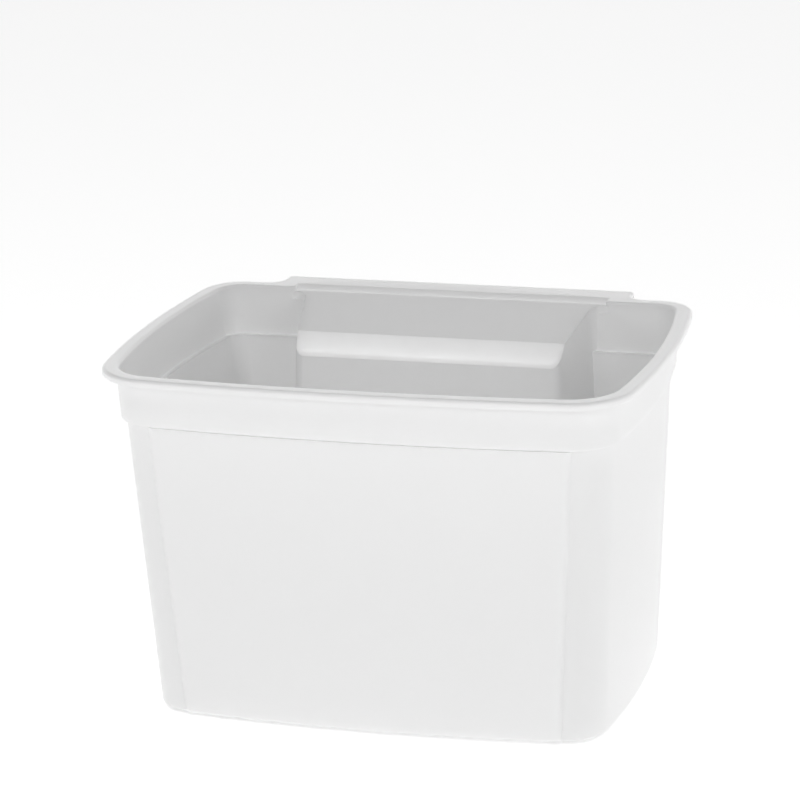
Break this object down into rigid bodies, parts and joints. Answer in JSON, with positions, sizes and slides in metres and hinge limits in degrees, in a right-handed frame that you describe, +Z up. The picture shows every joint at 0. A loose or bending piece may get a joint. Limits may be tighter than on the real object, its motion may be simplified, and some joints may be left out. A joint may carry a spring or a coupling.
{
  "type": "hang-on waste bin",
  "caption": "Open-topped white plastic waste bin with a collar below its rim, a sloped rear shelf and a rear flange with a turned-down lip that hangs over a board.",
  "frame": {"origin": "on the floor plane, at the middle of the bin's footprint box in X and Y", "axes": "+Z up, +X to the right seen from the front, front panel towards -Y, hook flange towards +Y"},
  "size_m": [0.3002, 0.2152, 0.196],
  "materials": {
    "white_plastic": "white injection-moulded polypropylene, satin gloss"
  },
  "bodies": {
    "root": {"floor": "white_plastic", "front_wall": "white_plastic", "left_wall": "white_plastic", "right_wall": "white_plastic", "front_left_corner": "white_plastic", "front_right_corner": "white_plastic", "rear_left_corner": "white_plastic", "rear_right_corner": "white_plastic", "recess_wall": "white_plastic", "recess_left_side": "white_plastic", "recess_right_side": "white_plastic", "collar_front": "white_plastic", "collar_left": "white_plastic", "collar_right": "white_plastic", "rim": "white_plastic", "rear_shelf": "white_plastic", "hook_flange": "white_plastic"}
  },
  "joints": []
}
